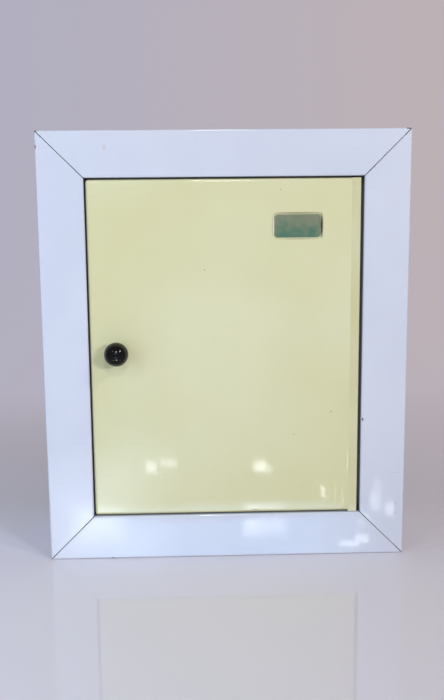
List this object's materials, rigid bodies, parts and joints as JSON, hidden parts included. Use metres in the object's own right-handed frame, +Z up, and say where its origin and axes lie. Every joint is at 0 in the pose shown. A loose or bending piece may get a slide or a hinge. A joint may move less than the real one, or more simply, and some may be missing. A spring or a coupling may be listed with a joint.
{
  "type": "medicine cabinet",
  "caption": "Sheet-steel wall medicine cabinet with a mitred frame, a hinged pan door with a ball knob, fixed shelves and a magnetic catch.",
  "frame": {"origin": "middle of the underside of the box, on the plane that the cabinet stands on", "axes": "+Z up, -Y towards the front with the door, +X to the right seen from the front"},
  "size_m": [0.37, 0.1553, 0.44],
  "materials": {
    "frame_enamel": "white stoving enamel, high gloss",
    "box_enamel": "white stoving enamel, gloss",
    "door_enamel": "cream stoving enamel, high gloss",
    "liner_enamel": "white enamel, satin",
    "shelf_enamel": "white enamel, satin",
    "zinc_plate": "zinc-plated steel",
    "bright_steel": "bright drawn steel",
    "knob_resin": "black phenolic resin, polished",
    "badge_aluminium": "tinted pressed foil, bare of any mark",
    "nylon": "natural nylon",
    "catch_plastic": "moulded plastic",
    "ferrite": "sintered ferrite",
    "buffer_rubber": "moulded rubber"
  },
  "bodies": {
    "cabinet": {"rail_top": "frame_enamel", "rail_bottom": "frame_enamel", "rail_left": "frame_enamel", "rail_right": "frame_enamel", "corner_key_top_left": "zinc_plate", "corner_key_top_right": "zinc_plate", "corner_key_bottom_left": "zinc_plate", "corner_key_bottom_right": "zinc_plate", "box_top": "box_enamel", "box_bottom": "box_enamel", "box_left": "box_enamel", "box_right": "box_enamel", "back_panel": "box_enamel", "frame_screw_top_1": "zinc_plate", "frame_screw_top_2": "zinc_plate", "frame_screw_bottom_1": "zinc_plate", "frame_screw_bottom_2": "zinc_plate", "frame_screw_left_1": "zinc_plate", "frame_screw_left_2": "zinc_plate", "frame_screw_right_1": "zinc_plate", "frame_screw_right_2": "zinc_plate", "shelf_lower": "shelf_enamel", "shelf_upper": "shelf_enamel", "runner_lower_left": "shelf_enamel", "runner_lower_right": "shelf_enamel", "runner_upper_left": "shelf_enamel", "runner_upper_right": "shelf_enamel", "hinge_bush_top": "nylon", "hinge_bush_bottom": "nylon", "catch_housing": "catch_plastic", "catch_magnet": "ferrite", "catch_pole_left": "bright_steel", "catch_pole_right": "bright_steel", "catch_screw_upper": "zinc_plate", "catch_screw_lower": "zinc_plate", "door_buffer_upper": "buffer_rubber", "door_buffer_lower": "buffer_rubber"},
    "door": {"door_pan": "door_enamel", "door_liner": "liner_enamel", "hinge_stile": "door_enamel", "stile_rivet_1": "zinc_plate", "stile_rivet_2": "zinc_plate", "stile_rivet_3": "zinc_plate", "pivot_block_top": "zinc_plate", "pivot_block_bottom": "zinc_plate", "hinge_pin_top": "bright_steel", "hinge_pin_bottom": "bright_steel", "knob": "knob_resin", "knob_screw": "zinc_plate", "knob_spacer": "zinc_plate", "badge_plate": "badge_aluminium"}
  },
  "joints": [
    {"name": "door_hinge", "type": "hinge", "parent": "cabinet", "child": "door", "pos_m": [0.1315, -0.058, 0.22], "axis": [0, 0, 1], "range_deg": [0, 105]}
  ]
}
